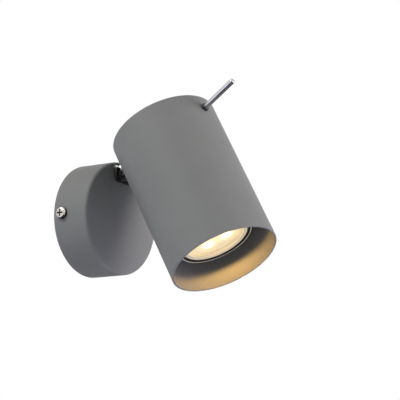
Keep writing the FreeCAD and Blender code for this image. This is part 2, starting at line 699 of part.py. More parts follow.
def outer_leaf():
    pivot = V(OUTER_LEAF_START, -HINGE_LEVEL, HINGE_FROM_REAR)
    end = cylinder(LEAF_RADIUS, LEAF_THICKNESS, pivot, RIGHT)
    foot = HEAD_INSIDE - SADDLE_THICKNESS
    shank = block(OUTER_LEAF_START, OUTER_LEAF_END, -HINGE_LEVEL, -foot,
                  HINGE_FROM_REAR - LEAF_RADIUS, HINGE_FROM_REAR + LEAF_RADIUS)
    return end.fuse(shank).removeSplitter()


def hinge_saddle():
    # A curved plate inside the tube with two leaves that stand out through the window
    length = SADDLE_FRONT - SADDLE_REAR
    start = V(0, 0, SADDLE_REAR)
    shell = ring(HEAD_INSIDE - INNER_FIT, HEAD_INSIDE - SADDLE_THICKNESS, length, start)
    side = block(-SADDLE_HALF_WIDTH, SADDLE_HALF_WIDTH, -HEAD_RADIUS, 0, SADDLE_REAR, SADDLE_FRONT)
    plate = shell.common(side).cut(saddle_window(OUTER_LEAF_START, 0))
    saddle = fuse_all([plate] + both_sides(outer_leaf()))
    pivot_start = V(-HEAD_RADIUS, -HINGE_LEVEL, HINGE_FROM_REAR)
    pivots = cylinder(HINGE_SHOULDER + HINGE_FIT, 2 * HEAD_RADIUS, pivot_start, RIGHT)
    return on_head(cut_all(saddle, [pivots] + saddle_screw_tools(SMALL_SCREW_RADIUS)))


def saddle_screws():
    length = HEAD_WALL + INNER_FIT + SADDLE_THICKNESS
    screw = pan_screw(SMALL_SCREW_HEAD, SMALL_SCREW_HEAD_HEIGHT, SMALL_SCREW_RADIUS, length)
    screws = []
    for side in (-1, 1):
        direction = saddle_screw_direction(side)
        position = V(0, 0, HINGE_FROM_REAR) + direction * HEAD_RADIUS
        screws.append(on_head(aimed(screw, position, direction)))
    return Part.makeCompound(screws)


def rear_cap():
    outer = HEAD_INSIDE - INNER_FIT
    disc = cylinder(outer, CAP_THICKNESS, V(0, 0, CAP_RECESS))
    disc = disc.makeChamfer(CAP_EDGE, edges_at(disc, "Z", CAP_RECESS))
    skirt_start = V(0, 0, CAP_RECESS + CAP_THICKNESS)
    skirt = ring(outer, outer - CAP_SKIRT_THICKNESS, CAP_SKIRT_LENGTH, skirt_start)
    # The skirt is open where the saddle sits
    notch_half_width = SADDLE_HALF_WIDTH + CAP_NOTCH_CLEARANCE
    notch = block(-notch_half_width, notch_half_width, -HEAD_RADIUS, 0,
                  skirt_start.z, skirt_start.z + CAP_SKIRT_LENGTH)
    return on_head(disc.fuse(skirt.cut(notch)).cut(pin_tool(PIN_HOLE)).removeSplitter())


def strap_tab_outer():
    # Outside radius of the strap's rear tab, which lies under the cap's skirt
    return HEAD_INSIDE - 2 * INNER_FIT - CAP_SKIRT_THICKNESS


def lamp_bracket():
    wall_radius = HEAD_INSIDE - INNER_FIT
    wide = block(-STRAP_HALF_WIDTH, STRAP_HALF_WIDTH, -HEAD_RADIUS, 0, STRAP_REAR, STRAP_TAB_FRONT)
    thin = block(-STRAP_HALF_WIDTH, STRAP_HALF_WIDTH, 0, HEAD_RADIUS, STRAP_TAB_REAR, STRAP_FRONT)
    cross_near = wide.common(cylinder(wall_radius, STRAP_THICKNESS, V(0, 0, STRAP_REAR)))
    cross_far = thin.common(cylinder(strap_tab_outer(), STRAP_THICKNESS, V(0, 0, STRAP_REAR)))
    near_ring = ring(wall_radius, wall_radius - STRAP_THICKNESS, STRAP_TAB_FRONT - STRAP_REAR,
                     V(0, 0, STRAP_REAR))
    far_ring = ring(strap_tab_outer(), strap_tab_outer() - STRAP_THICKNESS, STRAP_FRONT - STRAP_TAB_REAR,
                    V(0, 0, STRAP_TAB_REAR))
    strap = fuse_all([cross_near, cross_far, wide.common(near_ring), thin.common(far_ring)])
    tools = [pin_tool(PIN_HOLE), strap_screw_tool(SMALL_SCREW_RADIUS)]
    tools.append(cylinder(STRAP_WIRE_HOLE, STRAP_THICKNESS, V(0, 0, STRAP_REAR)))
    for y in (-HOLDER_SCREW_OFFSET, HOLDER_SCREW_OFFSET):
        tools.append(cylinder(SMALL_SCREW_RADIUS, STRAP_THICKNESS, V(0, y, STRAP_REAR)))
    return on_head(cut_all(strap, tools))


def bracket_screw():
    length = HEAD_WALL + INNER_FIT + STRAP_THICKNESS
    screw = pan_screw(SMALL_SCREW_HEAD, SMALL_SCREW_HEAD_HEIGHT, SMALL_SCREW_RADIUS, length)
    return on_head(aimed(screw, V(0, -HEAD_RADIUS, STRAP_SCREW_FROM_REAR), OUTWARD))


def aiming_pin():
    inner_end = strap_tab_outer() - STRAP_THICKNESS - PIN_NUT_SEAT - PIN_NUT_THICKNESS - PIN_PAST_NUT
    length = HEAD_RADIUS + PIN_REACH - inner_end
    rod = cylinder(PIN_RADIUS, length)
    rod = rod.makeFillet(PIN_END_ROUNDING, edges_at(rod, "Z", length))
    position = V(0, 0, PIN_FROM_REAR) + pin_direction() * inner_end
    return on_head(aimed(rod, position, pin_direction()))


def pin_collar():
    sleeve = cylinder(PIN_COLLAR_RADIUS, PIN_COLLAR_HEIGHT)
    sleeve = sleeve.makeFillet(PIN_COLLAR_EDGE, edges_at(sleeve, "Z", PIN_COLLAR_HEIGHT))
    sleeve = sleeve.cut(cylinder(PIN_RADIUS, PIN_COLLAR_HEIGHT))
    position = V(0, 0, PIN_FROM_REAR) + pin_direction() * HEAD_RADIUS
    return on_head(aimed(sleeve, position, pin_direction()))


def pin_nut():
    nut = hexagon_nut(PIN_NUT_FLATS, PIN_NUT_THICKNESS, PIN_RADIUS)
    inner = strap_tab_outer() - STRAP_THICKNESS - PIN_NUT_THICKNESS - PIN_NUT_SEAT
    position = V(0, 0, PIN_FROM_REAR) + pin_direction() * inner
    return on_head(aimed(nut, position, pin_direction()))


def arc_channel(radius, low, high):
    # A round-ended curved channel that lets a stud turn from locked to free
    circle = 0.5 * STUD_SPACING
    height = high - low
    swept = Part.Face(Part.makePolygon([
        V(0, circle - radius, low), V(0, circle + radius, low),
        V(0, circle + radius, high), V(0, circle - radius, high), V(0, circle - radius, low)]))
    swept = swept.revolve(ORIGIN, UP, LAMP_TWIST)
    start = cylinder(radius, height, V(0, circle, low))
    end = cylinder(radius, height, around_head(-LAMP_TWIST, circle, low))
    return fuse_all([swept, start, end])


def lamp_holder():
    core = block(-HOLDER_HALF_X, HOLDER_HALF_X, -HOLDER_HALF_Y, HOLDER_HALF_Y, STRAP_FRONT, HOLDER_FRONT)
    upright = []
    for edge in core.Edges:
        if edge.BoundBox.ZLength > HOLDER_CORNER:
            upright.append(edge)
    core = core.makeFillet(HOLDER_CORNER, upright)
    ears = block(-EAR_HALF_X, EAR_HALF_X, -EAR_HALF_Y, EAR_HALF_Y, STRAP_FRONT, STRAP_FRONT + EAR_HEIGHT)
    body = core.fuse(ears).removeSplitter()
    lip_low = HOLDER_FRONT - HOLDER_LIP
    floor = lip_low - HOLDER_CHANNEL_DEPTH
    slot = arc_channel(HOLDER_SLOT_RADIUS, lip_low, HOLDER_FRONT)
    channel = arc_channel(HOLDER_CHANNEL_RADIUS, floor, lip_low)
    entry_spot = around_head(-LAMP_TWIST, 0.5 * STUD_SPACING, lip_low)
    entry = cylinder(HOLDER_CHANNEL_RADIUS, HOLDER_LIP, entry_spot)
    tail_radius = CONTACT_TAIL_RADIUS + CONTACT_TAIL_CLEARANCE
    tail = cylinder(tail_radius, floor - STRAP_FRONT, V(0, 0.5 * STUD_SPACING, STRAP_FRONT))
    keyhole = fuse_all([slot, channel, entry, tail])
    opposite = keyhole.copy()
    opposite.rotate(ORIGIN, UP, 180)
    tools = [keyhole, opposite]
    for y in (-HOLDER_SCREW_OFFSET, HOLDER_SCREW_OFFSET):
        tools.append(cylinder(SMALL_SCREW_HOLE, EAR_HEIGHT, V(0, y, STRAP_FRONT)))
    return on_head(cut_all(body, tools))


def holder_screws():
    length = EAR_HEIGHT + STRAP_THICKNESS
    screw = pan_screw(SMALL_SCREW_HEAD, SMALL_SCREW_HEAD_HEIGHT, SMALL_SCREW_RADIUS, length)
    screws = []
    for y in (-HOLDER_SCREW_OFFSET, HOLDER_SCREW_OFFSET):
        screws.append(on_head(aimed(screw, V(0, y, STRAP_FRONT + EAR_HEIGHT), UP)))
    return Part.makeCompound(screws)


def holder_contacts():
    floor = HOLDER_FRONT - HOLDER_LIP - HOLDER_CHANNEL_DEPTH
    contacts = []
    for y in (-0.5 * STUD_SPACING, 0.5 * STUD_SPACING):
        pad = cylinder(CONTACT_RADIUS, CONTACT_THICKNESS, V(0, y, floor))
        tail = cylinder(CONTACT_TAIL_RADIUS, floor - STRAP_FRONT, V(0, y, STRAP_FRONT))
        contacts.append(on_head(pad.fuse(tail).removeSplitter()))
    return Part.makeCompound(contacts)


def lamp_floor():
    return LAMP_FRONT - LAMP_POCKET_DEPTH


def glass_back():
    return LAMP_FRONT - LAMP_GLASS_SETBACK - LAMP_GLASS_THICKNESS


def lamp_body():
    # Half section of the finned body, turned about the head's axis
    rim_back = LAMP_FRONT - LAMP_RIM_HEIGHT
    neck_front = LAMP_REAR + LAMP_BASE_HEIGHT + LAMP_NECK_LENGTH
    seat = LAMP_GLASS_RADIUS + INNER_FIT
    groove_floor = LAMP_FRONT - LAMP_GROOVE_DEPTH
    corners = [(0, LAMP_REAR + LAMP_BASE_HEIGHT),
               (LAMP_NECK_RADIUS, LAMP_REAR + LAMP_BASE_HEIGHT),
               (LAMP_NECK_RADIUS, neck_front),
               (LAMP_RADIUS - LAMP_RIM_STEP, rim_back - LAMP_RIM_SLOPE),
               (LAMP_RADIUS, rim_back),
               (LAMP_RADIUS, LAMP_FRONT - LAMP_RIM_EDGE),
               (LAMP_RADIUS - LAMP_RIM_EDGE, LAMP_FRONT),
               (LAMP_RIM_INNER, LAMP_FRONT),
               (LAMP_RIM_INNER, groove_floor),
               (seat, groove_floor),
               (seat, glass_back()),
               (LAMP_POCKET_RADIUS, glass_back()),
               (LAMP_POCKET_RADIUS, lamp_floor()),
               (0, lamp_floor())]
    points = [V(radius, 0, along) for radius, along in corners]
    body = Part.Face(Part.makePolygon(points + points[:1])).revolve(ORIGIN, UP, 360)
    # Gaps between the cooling fins, which follow the slope of the body
    side = -0.5 * LAMP_FIN_GAP
    fin_front = lamp_floor() - LAMP_FIN_FLOOR
    outlines = [V(LAMP_NECK_RADIUS - LAMP_RIM_STEP, side, neck_front),
                V(LAMP_RADIUS + LAMP_RIM_STEP, side, neck_front),
                V(LAMP_RADIUS + LAMP_RIM_STEP, side, fin_front),
                V(LAMP_POCKET_RADIUS - LAMP_FIN_DEPTH, side, fin_front)]
    gap = Part.Face(Part.makePolygon(outlines + outlines[:1])).extrude(V(0, LAMP_FIN_GAP, 0))
    for i in range(LAMP_FINS):
        tool = gap.copy()
        tool.rotate(ORIGIN, UP, 360.0 * i / LAMP_FINS)
        body = body.cut(tool)
    return on_head(body)


def lamp_base():
    base = cylinder(LAMP_BASE_RADIUS, LAMP_BASE_HEIGHT, V(0, 0, LAMP_REAR))
    return on_head(base.makeFillet(LAMP_BASE_EDGE, edges_at(base, "Z", LAMP_REAR)))


def lamp_studs():
    studs = []
    for y in (-0.5 * STUD_SPACING, 0.5 * STUD_SPACING):
        shank = cylinder(STUD_RADIUS, STUD_LENGTH, V(0, y, LAMP_REAR - STUD_LENGTH))
        head = cylinder(STUD_HEAD_RADIUS, STUD_HEAD_LENGTH, V(0, y, LAMP_REAR - STUD_LENGTH))
        head = head.makeChamfer(STUD_HEAD_EDGE, edges_at(head, "Z", LAMP_REAR - STUD_LENGTH))
        studs.append(on_head(shank.fuse(head).removeSplitter()))
    return Part.makeCompound(studs)


def lamp_glass():
    glass = cylinder(LAMP_GLASS_RADIUS, LAMP_GLASS_THICKNESS, V(0, 0, glass_back()))
    front = LAMP_FRONT - LAMP_GLASS_SETBACK
    return on_head(glass.makeFillet(LAMP_GLASS_EDGE, edges_at(glass, "Z", front)))


def led_spots(height):
    return [around_head(90.0 - LED_FIRST_ANGLE - 90.0 * i, LED_CIRCLE, height) for i in range(LED_COUNT)]


def led_board():
    return on_head(cylinder(BOARD_RADIUS, BOARD_THICKNESS, V(0, 0, lamp_floor())))


def led_chips():
    chips = []
    top = lamp_floor() + BOARD_THICKNESS
    half = 0.5 * LED_SIZE
    for spot in led_spots(top):
        chips.append(on_head(block(spot.x - half, spot.x + half, spot.y - half, spot.y + half,
                                   top, top + LED_HEIGHT)))
    return Part.makeCompound(chips)


def lamp_optic():
    # Clear plate behind the glass with a low dome over each light source and a skirt to the board
    front = glass_back() - OPTIC_DOME_HEIGHT - STACK_GAP
    plate = cylinder(OPTIC_RADIUS, OPTIC_THICKNESS, V(0, 0, front - OPTIC_THICKNESS))
    board_front = lamp_floor() + BOARD_THICKNESS
    skirt = ring(OPTIC_SKIRT_RADIUS, OPTIC_SKIRT_RADIUS - OPTIC_SKIRT_WALL, front - OPTIC_THICKNESS - board_front,
                 V(0, 0, board_front))
    ball_radius = (OPTIC_DOME_RADIUS ** 2 + OPTIC_DOME_HEIGHT ** 2) / (2 * OPTIC_DOME_HEIGHT)
    shapes = [plate, skirt]
    for spot in led_spots(front - ball_radius + OPTIC_DOME_HEIGHT):
        ball = Part.makeSphere(ball_radius, spot)
        root = V(spot.x, spot.y, front - 0.5 * OPTIC_THICKNESS)
        above = cylinder(OPTIC_DOME_RADIUS, OPTIC_DOME_HEIGHT + 0.5 * OPTIC_THICKNESS, root)
        shapes.append(ball.common(above))
    return on_head(fuse_all(shapes))


PARTS = {
    "base_cover": base_cover,
    "cover_screws": cover_screws,
    "wall_bracket": wall_bracket,
    "cable_grommet": cable_grommet,
    "earth_washer": earth_washer,
    "earth_screw": earth_screw,
    "terminal_block": terminal_block,
    "terminal_tubes": terminal_tubes,
    "terminal_screws": terminal_screws,
    "terminal_fixing_screw": terminal_fixing_screw,
    "face_washer": face_washer,
    "swivel_hub": swivel_hub,
    "stop_washer": stop_washer,
    "spring_washer": spring_washer,
    "stem_nut": stem_nut,
    "hinge_screws": hinge_screws,
    "head_tube": head_tube,
    "hinge_saddle": hinge_saddle,
    "saddle_screws": saddle_screws,
    "rear_cap": rear_cap,
    "lamp_bracket": lamp_bracket,
    "bracket_screw": bracket_screw,
    "aiming_pin": aiming_pin,
    "pin_collar": pin_collar,
    "pin_nut": pin_nut,
    "lamp_holder": lamp_holder,
    "holder_screws": holder_screws,
    "holder_contacts": holder_contacts,
    "lamp_body": lamp_body,
    "lamp_base": lamp_base,
    "lamp_studs": lamp_studs,
    "lamp_glass": lamp_glass,
    "led_board": led_board,
    "led_chips": led_chips,
    "lamp_optic": lamp_optic,
}

os.makedirs("parts", exist_ok=True)
for part_name, make_part in PARTS.items():
    save(part_name, make_part())
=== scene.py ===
import json
import math

import bpy
from mathutils import Matrix, Vector


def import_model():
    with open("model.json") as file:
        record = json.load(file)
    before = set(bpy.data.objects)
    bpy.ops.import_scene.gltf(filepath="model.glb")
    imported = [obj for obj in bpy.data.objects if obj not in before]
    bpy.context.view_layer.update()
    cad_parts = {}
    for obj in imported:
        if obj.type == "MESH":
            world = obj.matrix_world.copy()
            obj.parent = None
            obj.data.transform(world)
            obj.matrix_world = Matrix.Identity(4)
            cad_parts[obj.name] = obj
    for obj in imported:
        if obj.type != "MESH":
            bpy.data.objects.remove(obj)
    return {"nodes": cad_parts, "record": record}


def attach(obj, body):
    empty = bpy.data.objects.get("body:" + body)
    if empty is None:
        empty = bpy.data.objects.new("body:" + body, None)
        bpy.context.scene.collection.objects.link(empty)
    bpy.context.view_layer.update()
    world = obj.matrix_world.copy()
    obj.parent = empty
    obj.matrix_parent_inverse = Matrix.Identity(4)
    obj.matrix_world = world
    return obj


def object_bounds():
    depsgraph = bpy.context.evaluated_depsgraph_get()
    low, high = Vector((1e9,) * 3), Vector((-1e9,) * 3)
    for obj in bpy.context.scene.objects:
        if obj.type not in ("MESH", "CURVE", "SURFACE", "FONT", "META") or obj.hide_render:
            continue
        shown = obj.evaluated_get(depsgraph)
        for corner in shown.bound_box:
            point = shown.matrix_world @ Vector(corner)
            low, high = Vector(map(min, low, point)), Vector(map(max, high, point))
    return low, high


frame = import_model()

cad_low, cad_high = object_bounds()

# Lengths are in metres, typed angles in degrees, and colours are linear red, green and blue

# Camera at the photograph's viewing angle, fitted to the outlines of the light
FRAME_PIXELS = 400.0
FOCAL_PIXELS = 1700.31
SENSOR_WIDTH_MM = 36.0
CAMERA_PLACE = (-0.882555, -0.722231, -0.188006)
CAMERA_RIGHT = (0.5800993, -0.8144794, 0.0103968)
CAMERA_UP = (-0.1496299, -0.0940074, 0.9842629)
CAMERA_NEAR = 0.05
CAMERA_FAR = 50.0

# Studio lights: name, way to the right, toward the camera and up, watts and colour
STUDIO_LIGHTS = (
    ("upper_left", -0.9, 0.6, 1.0, 12.3, (0.99, 1.0, 0.92)),
    ("right", 1.4, 0.2, 0.3, 12.3, (1.0, 0.935, 0.895)),
    ("front_right", 1.1, 0.7, 0.9, 4.2, (0.93, 0.96, 1.0)),
    ("low_left", -1.1, 0.5, -0.4, 3.4, (0.56, 0.58, 1.0)),
    ("low_right", 0.5, 0.1, -0.48, 3.4, (0.67, 0.68, 1.0)),
)
STUDIO_LIGHT_SIZE = 0.8

# The world: faint light from all round, and the colour of the background
EVEN_LIGHT = (0.84, 0.93, 1.0)
EVEN_LIGHT_STRENGTH = 0.08
WHITE = (1.0, 1.0, 1.0)

# The floor is plain up to one distance from its middle and white beyond the other. Its glow is the
# least share of white that the camera sees in it
FLOOR_LEVEL = -0.55
FLOOR_HALF = 6.0
FLOOR_PLAIN = 1.2
FLOOR_WHITE = 3.0
FLOOR_COLOUR = (0.82, 0.82, 0.81)
FLOOR_GLOW = 0.45

# A card between the floor and the light, which darkens what polished metal mirrors
DARK_CARD_LEVEL = -0.5
DARK_CARD_HALF = 0.7
DARK_CARD_COLOUR = (0.03, 0.03, 0.03)

# Directions of the head at rest, from its pan and its tilt: to its side, along its axis from the
# rear end to the mouth, and square to both, away from the wall
REST_PAN = math.radians(2.5)
REST_TILT = math.radians(30.0)
FROM_WALL = Vector((0.0, -1.0, 0.0))
PANNED_UP = Vector((math.sin(REST_PAN), 0.0, math.cos(REST_PAN)))
HEAD_SIDE = Vector((math.cos(REST_PAN), 0.0, -math.sin(REST_PAN)))
HEAD_AXIS = math.sin(REST_TILT) * FROM_WALL - math.cos(REST_TILT) * PANNED_UP
HEAD_OUTWARD = math.cos(REST_TILT) * FROM_WALL + math.sin(REST_TILT) * PANNED_UP

# Centre of the lamp's front, and the circle of light sources behind its glass
LAMP_FRONT = Vector((-0.002204, -0.105475, -0.021484))
LED_COUNT = 4
LED_CIRCLE = 0.0093
LED_FIRST_ANGLE = 27.0

# The lamp's beam starts just ahead of its front, off the middle to the side and toward the wall
WARM_LIGHT = (1.0, 0.59, 0.182)
BEAM_WATTS = 0.065
BEAM_AHEAD = 0.0011
BEAM_SIDEWAYS = 0.014
BEAM_INWARD = 0.0058
BEAM_START = LAMP_FRONT + BEAM_AHEAD * HEAD_AXIS + BEAM_SIDEWAYS * HEAD_SIDE - BEAM_INWARD * HEAD_OUTWARD
BEAM_ANGLE = 175.0
BEAM_SOFT_EDGE = 0.28
BEAM_SOURCE_RADIUS = 0.001

# A noise texture's values where the first shade ends and where the second one is reached
SHADE_FROM = 0.3
WEAR_FROM = 0.35
SHADE_TO = 0.7

# Scale of the noise along each axis, which draws it out into rolling lines
ROLLED = (0.12, 1.0, 1.0)

# How much light enters the cream plastic, and how far its red, green and blue parts spread in it
TRANSLUCENCE = 0.15
SCATTER = (0.002, 0.0015, 0.001)

# The two shades of each material
PAINT_SHADES = ((0.196, 0.198, 0.197), (0.214, 0.216, 0.215))
NICKEL_SHADES = ((0.66, 0.63, 0.57), (0.42, 0.39, 0.34))
ZINC_SHADES = ((0.56, 0.57, 0.58), (0.70, 0.71, 0.70))
CHROME_SHADES = ((0.47, 0.465, 0.45), (0.53, 0.525, 0.51))
BLACK_CHROME_SHADES = ((0.055, 0.055, 0.056), (0.085, 0.085, 0.086))
BLACK_METAL_SHADES = ((0.035, 0.036, 0.04), (0.065, 0.066, 0.07))
BRASS_SHADES = ((0.80, 0.60, 0.27), (0.62, 0.44, 0.18))
RUBBER_SHADES = ((0.018, 0.018, 0.019), (0.034, 0.034, 0.036))
NYLON_SHADES = ((0.05, 0.05, 0.052), (0.075, 0.075, 0.078))
TERMINAL_SHADES = ((0.72, 0.70, 0.62), (0.80, 0.78, 0.70))
CERAMIC_SHADES = ((0.66, 0.63, 0.56), (0.80, 0.78, 0.72))
SILVER_SHADES = ((0.82, 0.82, 0.80), (0.90, 0.90, 0.88))
GLASS_SHADES = ((0.46, 0.50, 0.42), (0.54, 0.58, 0.49))
BOARD_SHADES = ((0.74, 0.74, 0.72), (0.82, 0.82, 0.80))
LED_SHADES = ((0.86, 0.62, 0.20), (0.95, 0.76, 0.34))

# Widths of the edges between two colours
SHARP_EDGE = 0.0001
FINE_EDGE = 0.0002
MILKY_EDGE = 0.0003
HINGE_SHADE_EDGE = 0.001
INSIDE_FADE = 0.01

# Painted shade inside the mouth, darker than the paint outside: its reach from the head's axis, and
# its rear end as a place along the axis, counted from the lamp's front
MOUTH_PAINTED_SHADE = (0.14, 0.14, 0.142)
INSIDE_RADIUS = 0.035
INSIDE_START = -0.05

# Painted shade on the cover screws, in the recess and under the head's edge, up to this distance from
# the light's middle plane
SCREW_PAINTED_SHADE = (0.02, 0.019, 0.016)
SCREW_SHADE_UP_TO = 0.0393

# Painted shade on the chrome below this height, where the hinge screws sit
HINGE_PAINTED_SHADE = (0.07, 0.07, 0.071)
HINGE_SHADE_BELOW = 0.045

# Black chrome has a painted highlight above this height, along the bevel of the swivel, and has this
# share of its roughness there
BEVEL_PAINTED_HIGHLIGHT = (0.9, 0.9, 0.9)
HIGHLIGHT_ABOVE = 0.0332
POLISHED_SHARE = 0.4

# Radii in the lamp's front: of the clear middle, of the milky band, of the glass, and of the inner
# edge of the rim's bright top
CLEAR_RADIUS = 0.0199
MILKY_RADIUS = 0.0220
GLASS_RADIUS = 0.0231
BRIGHT_RIM = 0.0244

# The painted shade in the groove shows on the rim, and the black print on the glass, within these depths
# from the front
RIM_DEPTH = 0.006
PRINT_DEPTH = 0.001
GROOVE_PAINTED_SHADE = (0.012, 0.012, 0.011)
PRINT_BLACK = (0.03, 0.03, 0.025)

# Light that the rim and the glass pass on from the lamp, and how much of the glass shows
RIM_GLOW = (1.0, 0.93, 0.84)
RIM_GLOW_STRENGTH = 0.3
BACK_GLOW = (1.0, 0.70, 0.42)
BACK_GLOW_STRENGTH = 0.66
FRONT_GLOW = (1.0, 0.82, 0.60)
FRONT_GLOW_STRENGTH = 0.15
CLEAR_ALPHA = 0.06
MILKY_ALPHA = 0.9

# The lit plate behind the glass: an uneven glow, and a hot spot and halo over each light source
PLATE_COLOUR = (0.48, 0.5, 0.4)
PLATE_GLOW = (0.97, 0.68, 0.335)
PLATE_GLOW_LOW = 0.52
PLATE_GLOW_HIGH = 0.68
HOT_SPOT_RADIUS = 0.0056
HOT_SPOT_STRENGTH = 16.0
HOT_SPOT_FALLOFF = 2.0
HALO_RADIUS = 0.0115
HALO_STRENGTH = 0.6
LED_STRENGTH = 6.0


def new_material(name):
    material = bpy.data.materials.new(name)
    material.use_nodes = True
    material.node_tree.nodes.clear()
    return material, material.node_tree


def add(tree, kind, **settings):
    node = tree.nodes.new(kind)
    for key, value in settings.items():
        setattr(node, key, value)
    return node


def surface(name, roughness=0.5, metallic=0.0, specular=0.5):
    material, tree = new_material(name)
    shader = add(tree, "ShaderNodeBsdfPrincipled")
    shader.inputs["Roughness"].default_value = roughness
    shader.inputs["Metallic"].default_value = metallic
    shader.inputs["Specular IOR Level"].default_value = specular
    output = add(tree, "ShaderNodeOutputMaterial")
    tree.links.new(shader.outputs["BSDF"], output.inputs["Surface"])
    return material, tree, shader


def coloured(tree, kind, colour):
    node = add(tree, kind)
    node.inputs["Color"].default_value = (*colour, 1.0)
    return node


def mixed(tree, factor, first, second):
    mix = add(tree, "ShaderNodeMixShader")
    tree.links.new(factor, mix.inputs["Fac"])
    tree.links.new(first, mix.inputs[1])
    tree.links.new(second, mix.inputs[2])
    return mix.outputs["Shader"]


def combine(tree, operation, first, second):
    # Two values that come from other nodes make one
    node = add(tree, "ShaderNodeMath", operation=operation)
    tree.links.new(first, node.inputs[0])
    tree.links.new(second, node.inputs[1])
    return node.outputs["Value"]


def adjust(tree, operation, value, number):
    # A value from another node is changed by a number that is the same everywhere
    node = add(tree, "ShaderNodeMath", operation=operation)
    node.inputs[1].default_value = number
    tree.links.new(value, node.inputs[0])
    return node.outputs["Value"]


def product(tree, first, second):
    return combine(tree, "MULTIPLY", first, second)


def total(tree, values):
    result = values[0]
    for value in values[1:]:
        result = combine(tree, "ADD", result, value)
    return result


def vector_math(tree, operation, vector, fixed=(0.0, 0.0, 0.0)):
    # The vector comes from another node and the fixed one is the same everywhere
    node = add(tree, "ShaderNodeVectorMath", operation=operation)
    node.inputs[1].default_value = fixed
    tree.links.new(vector, node.inputs[0])
    return node


def place(tree):
    # The point on the piece, which stays with the piece when it moves
    return add(tree, "ShaderNodeTexCoord").outputs["Object"]


def coordinate(tree, axis):
    parts = add(tree, "ShaderNodeSeparateXYZ")
    tree.links.new(place(tree), parts.inputs[0])
    return parts.outputs[axis]


def away_from(tree, centre):
    return vector_math(tree, "SUBTRACT", place(tree), centre).outputs["Vector"]


def off_axis(tree, away):
    # Distance from the line along the head's axis through the point that away starts from
    across = vector_math(tree, "CROSS_PRODUCT", away, HEAD_AXIS)
    return vector_math(tree, "LENGTH", across.outputs["Vector"]).outputs["Value"]


def along_axis(tree, away):
    return vector_math(tree, "DOT_PRODUCT", away, HEAD_AXIS).outputs["Value"]


def closeness(tree, centre, reach):
    # 1 on the line through centre along the head's axis, falling to 0 at a distance of reach from it
    near = add(tree, "ShaderNodeMapRange", interpolation_type="SMOOTHSTEP")
    near.inputs["From Min"].default_value = reach
    near.inputs["From Max"].default_value = 0.0
    tree.links.new(off_axis(tree, away_from(tree, centre)), near.inputs["Value"])
    return near.outputs["Result"]


def noise(tree, size, detail=3.0, rough=0.5, stretch=None):
    where = place(tree)
    if stretch:
        mapping = add(tree, "ShaderNodeMapping")
        mapping.inputs["Scale"].default_value = stretch
        tree.links.new(where, mapping.inputs["Vector"])
        where = mapping.outputs["Vector"]
    texture = add(tree, "ShaderNodeTexNoise")
    texture.inputs["Scale"].default_value = 1.0 / size
    texture.inputs["Detail"].default_value = detail
    texture.inputs["Roughness"].default_value = rough
    tree.links.new(where, texture.inputs["Vector"])
    return texture.outputs["Fac"]


def spread(tree, value, low, high, out_low, out_high):
    # Values from low to high become values from out_low to out_high
    ramp = add(tree, "ShaderNodeMapRange")
    ramp.inputs["From Min"].default_value = low
    ramp.inputs["From Max"].default_value = high
    ramp.inputs["To Min"].default_value = out_low
    ramp.inputs["To Max"].default_value = out_high
    tree.links.new(value, ramp.inputs["Value"])
    return ramp.outputs["Result"]


def rise(tree, value, start, width):
    # 0 before start and 1 after the width
    return spread(tree, value, start, start + width, 0.0, 1.0)


def fall(tree, value, start, width):
    # 1 before start and 0 after the width
    return spread(tree, value, start, start + width, 1.0, 0.0)


def blend(tree, factor, low, high):
    # The number low where the factor is 0, and high where it is 1
    return spread(tree, factor, 0.0, 1.0, low, high)


def between(tree, factor, first, second):
    mix = add(tree, "ShaderNodeMix", data_type="RGBA")
    mix.inputs["A"].default_value = (*first, 1.0)
    mix.inputs["B"].default_value = (*second, 1.0)
    tree.links.new(factor, mix.inputs["Factor"])
    return mix.outputs["Result"]


def shade(tree, shader, texture, shades, start=SHADE_FROM):
    # Colours the surface in two shades, by a noise texture
    amount = spread(tree, texture, start, SHADE_TO, 0.0, 1.0)
    tree.links.new(between(tree, amount, *shades), shader.inputs["Base Color"])


def paint_over(tree, shader, amount, paint):
    # Covers the shades with another colour where the amount is 1
    base = shader.inputs["Base Color"]
    mix = add(tree, "ShaderNodeMix", data_type="RGBA")
    mix.inputs["B"].default_value = (*paint, 1.0)
    tree.links.new(base.links[0].from_socket, mix.inputs["A"])
    tree.links.new(amount, mix.inputs["Factor"])
    tree.links.new(mix.outputs["Result"], base)


def uneven(tree, texture, low, high):
    # A number between low and high, by a noise texture
    return spread(tree, texture, SHADE_FROM, SHADE_TO, low, high)


def bump(tree, shader, height, depth, strength):
    # A second layer of bumps lies on the first
    node = add(tree, "ShaderNodeBump")
    node.inputs["Distance"].default_value = depth
    node.inputs["Strength"].default_value = strength
    tree.links.new(height, node.inputs["Height"])
    normal = shader.inputs["Normal"]
    if normal.is_linked:
        tree.links.new(normal.links[0].from_socket, node.inputs["Normal"])
    tree.links.new(node.outputs["Normal"], normal)


def grey_paint():
    # Matt powder coat: an even grey with a very fine grain and faint cloudiness, and painted shade
    # inside the mouth
    material, tree, shader = surface("grey_paint", specular=0.32)
    shade(tree, shader, noise(tree, size=0.035, detail=4.0), PAINT_SHADES)
    away = away_from(tree, LAMP_FRONT)
    inside = fall(tree, off_axis(tree, away), INSIDE_RADIUS, FINE_EDGE)
    forward = rise(tree, along_axis(tree, away), INSIDE_START, INSIDE_FADE)
    # Painted shade: the paint inside the mouth is darkened to stand in for the shade that falls there
    paint_over(tree, shader, product(tree, inside, forward), MOUTH_PAINTED_SHADE)
    roughness = uneven(tree, noise(tree, size=0.0012, detail=2.0), low=0.54, high=0.66)
    tree.links.new(roughness, shader.inputs["Roughness"])
    bump(tree, shader, noise(tree, size=0.0007), depth=0.00004, strength=0.35)
    bump(tree, shader, noise(tree, size=0.009, detail=2.0), depth=0.00006, strength=0.25)
    return material


